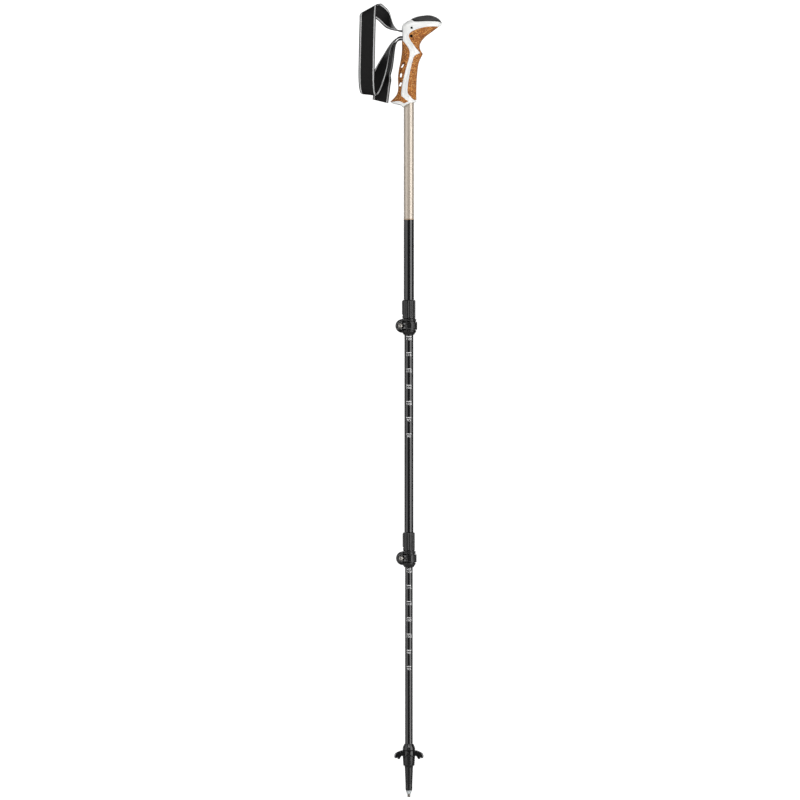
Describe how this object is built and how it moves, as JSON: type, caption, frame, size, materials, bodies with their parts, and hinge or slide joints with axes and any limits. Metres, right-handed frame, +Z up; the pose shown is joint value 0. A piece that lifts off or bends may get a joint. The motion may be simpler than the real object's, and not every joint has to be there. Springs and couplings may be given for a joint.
{
  "type": "trekking pole",
  "caption": "Telescopic three-section trekking pole with lever locks, beaked cork grip, wrist strap, small basket and hard metal tip.",
  "frame": {"origin": "centre of the hard metal point's flat end, on the pole's axis", "axes": "+Z up along the pole to the grip, +X the way the grip's beak points, -X the strap's side"},
  "size_m": [0.1278, 0.0378, 1.2236],
  "materials": {
    "white_plastic": "satin moulded white plastic",
    "cork": "ground cork composite",
    "cap_rubber": "grained soft rubber",
    "dark_pin": "blackened steel",
    "dark_plastic": "plain moulded plastic",
    "webbing": "black polyester webbing with light edge lines",
    "beige_tube": "painted tube, beige above and black below",
    "lock_plastic": "glass-filled nylon",
    "steel": "plated steel",
    "bush_plastic": "sliding plastic",
    "black_tube": "black anodised tube with printed length marks",
    "tip_plastic": "tough moulded plastic",
    "carbide": "sintered hard metal"
  },
  "bodies": {
    "grip_section": {"grip_core": "white_plastic", "front_cork": "cork", "rear_cork": "cork", "grip_cap": "cap_rubber", "wedge_pin": "dark_pin", "strap_anchor_pin": "dark_pin", "wrist_strap": "webbing", "upper_tube": "beige_tube", "upper_lock_collar": "lock_plastic", "upper_lock_screw": "steel", "upper_lock_nut": "steel", "upper_lock_barrel": "steel"},
    "strap_clip": {"strap_wedge": "dark_plastic"},
    "upper_lever": {"upper_lock_lever": "lock_plastic"},
    "middle_bush": {"middle_guide_bush": "bush_plastic"},
    "middle_section": {"middle_tube": "black_tube", "lower_lock_collar": "lock_plastic", "lower_lock_screw": "steel", "lower_lock_nut": "steel", "lower_lock_barrel": "steel"},
    "lower_lever": {"lower_lock_lever": "lock_plastic"},
    "lower_bush": {"lower_guide_bush": "bush_plastic"},
    "lower_section": {"lower_tube": "black_tube", "tip_shaft": "tip_plastic", "tip_holder": "steel", "carbide_tip": "carbide"},
    "basket": {"basket": "tip_plastic"}
  },
  "joints": [
    {"name": "strap_clip_swing", "type": "hinge", "parent": "grip_section", "child": "strap_clip", "pos_m": [0.0042, 0, 1.1846], "axis": [0, 1, 0], "range_deg": [0, 20]},
    {"name": "upper_lever_open", "type": "hinge", "parent": "grip_section", "child": "upper_lever", "pos_m": [-0.0134, -0.01, 0.726], "axis": [0, 0, -1], "range_deg": [0, 120]},
    {"name": "middle_slide", "type": "slide", "parent": "grip_section", "child": "middle_bush", "axis": [0, 0, -1], "range_m": [-0.3035, 0.025]},
    {"name": "middle_turn", "type": "hinge", "parent": "middle_bush", "child": "middle_section", "pos_m": [0, 0, 0.84], "axis": [0, 0, 1], "continuous": true},
    {"name": "lower_lever_open", "type": "hinge", "parent": "middle_section", "child": "lower_lever", "pos_m": [-0.0124, -0.009, 0.368], "axis": [0, 0, -1], "range_deg": [0, 120]},
    {"name": "lower_slide", "type": "slide", "parent": "middle_section", "child": "lower_bush", "axis": [0, 0, -1], "range_m": [-0.2715, 0.025]},
    {"name": "lower_turn", "type": "hinge", "parent": "lower_bush", "child": "lower_section", "pos_m": [0, 0, 0.468], "axis": [0, 0, 1], "continuous": true},
    {"name": "basket_turn", "type": "hinge", "parent": "lower_section", "child": "basket", "pos_m": [0, 0, 0.06], "axis": [0, 0, 1], "range_deg": [0, 90]}
  ]
}
